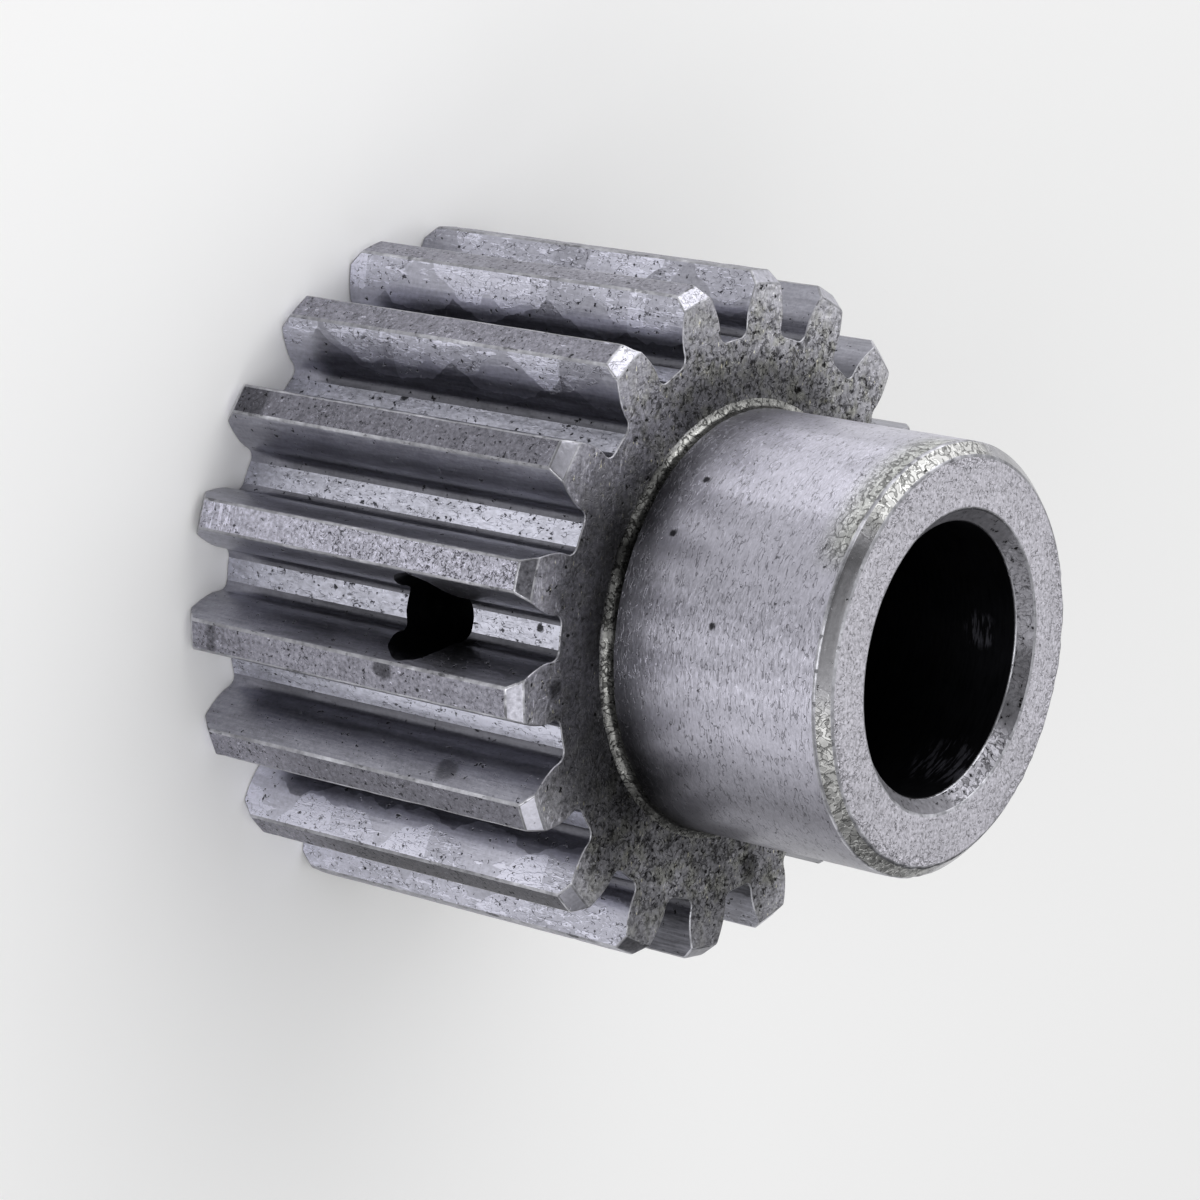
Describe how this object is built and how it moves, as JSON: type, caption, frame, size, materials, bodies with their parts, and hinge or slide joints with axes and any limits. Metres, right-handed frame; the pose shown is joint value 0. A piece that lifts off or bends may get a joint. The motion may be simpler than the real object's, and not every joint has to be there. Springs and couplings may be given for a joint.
{
  "type": "motor shaft gear",
  "caption": "Steel spur gear with a plain hub, a shaft bore and a cross pin hole, to be pinned on the end of a motor shaft.",
  "frame": {"origin": "centre of the bore at the plain end face of the teeth, which is the bottom", "axes": "+Z along the bore towards the hub's free end, +X along the pin hole through the middle of a tooth space"},
  "size_m": [0.0242, 0.0244, 0.024],
  "materials": {
    "steel": "machined and lightly pitted, dry"
  },
  "bodies": {
    "root": {"gear": "steel"}
  },
  "joints": []
}
